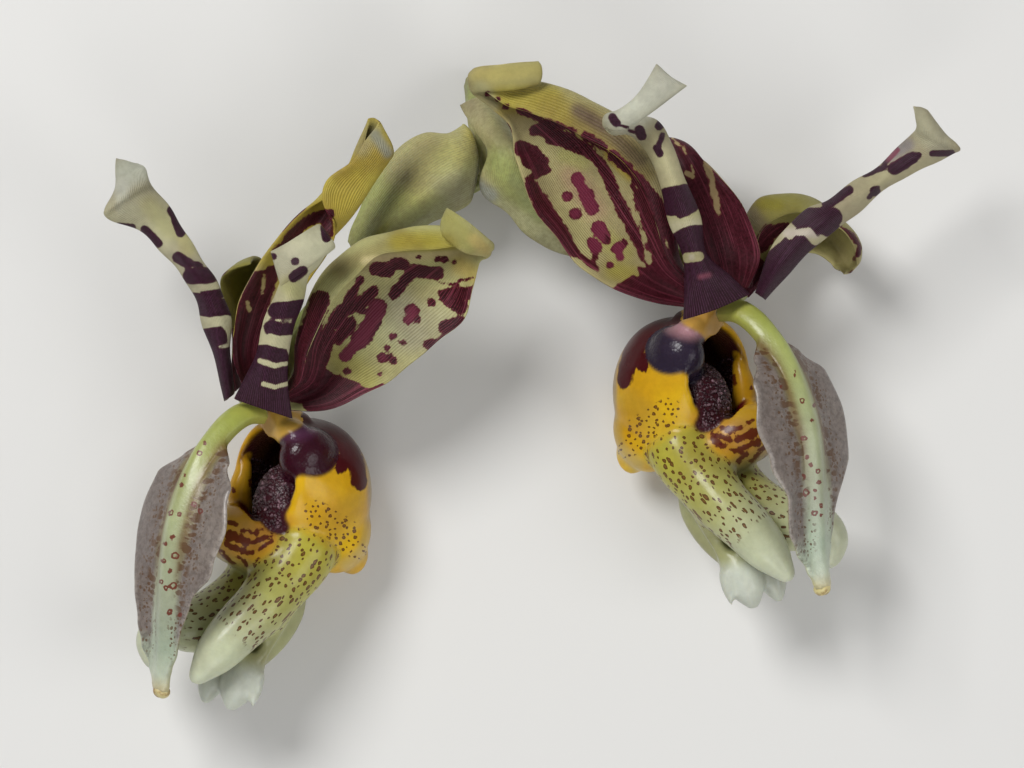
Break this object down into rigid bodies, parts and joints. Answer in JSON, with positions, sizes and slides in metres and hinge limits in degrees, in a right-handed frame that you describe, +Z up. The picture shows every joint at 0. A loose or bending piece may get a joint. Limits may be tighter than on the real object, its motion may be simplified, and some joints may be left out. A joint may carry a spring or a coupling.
{
  "type": "stanhopea orchid flower truss",
  "caption": "Cut orchid truss lying on its back, with large spotted flowers whose reflexed petals surround a waxy sac lip with horns and an arching winged column.",
  "frame": {"origin": "middle of the truss's outline, on the surface that it lies on", "axes": "+X across the truss from the left flower to the right one, +Y towards the stalk's cut end, away from the lips' tips, +Z up from the surface towards the viewer of the picture"},
  "size_m": [0.1701, 0.1297, 0.054],
  "materials": {
    "sepal": "waxy tissue, yellow-olive with large maroon blotches and stripes",
    "petal": "thin waxy tissue, dark purple bands between pale cream ones",
    "column": "satin pale green flesh with grey-lilac speckled wings",
    "anther": "small matt straw-yellow cap",
    "lip": "glossy thick flesh, orange-yellow and dark maroon sac, cream spotted horns",
    "bract": "dry papery skin, green to grey-brown, fine lengthwise veins",
    "ovary": "fresh green flesh with faint ribs",
    "rachis": "green woody stalk with a paler cut end"
  },
  "bodies": {
    "root": {"left_near_sepal": "sepal", "left_near_petal": "petal", "left_outer_petal": "petal", "left_dorsal_sepal": "sepal", "left_far_sepal": "sepal", "left_column": "column", "left_anther_cap": "anther", "left_lip": "lip", "left_bract": "bract", "left_ovary": "ovary", "right_near_sepal": "sepal", "right_near_petal": "petal", "right_outer_petal": "petal", "right_dorsal_sepal": "sepal", "right_far_sepal": "sepal", "right_column": "column", "right_anther_cap": "anther", "right_lip": "lip", "right_bract": "bract", "right_ovary": "ovary", "rachis": "rachis"}
  },
  "joints": []
}
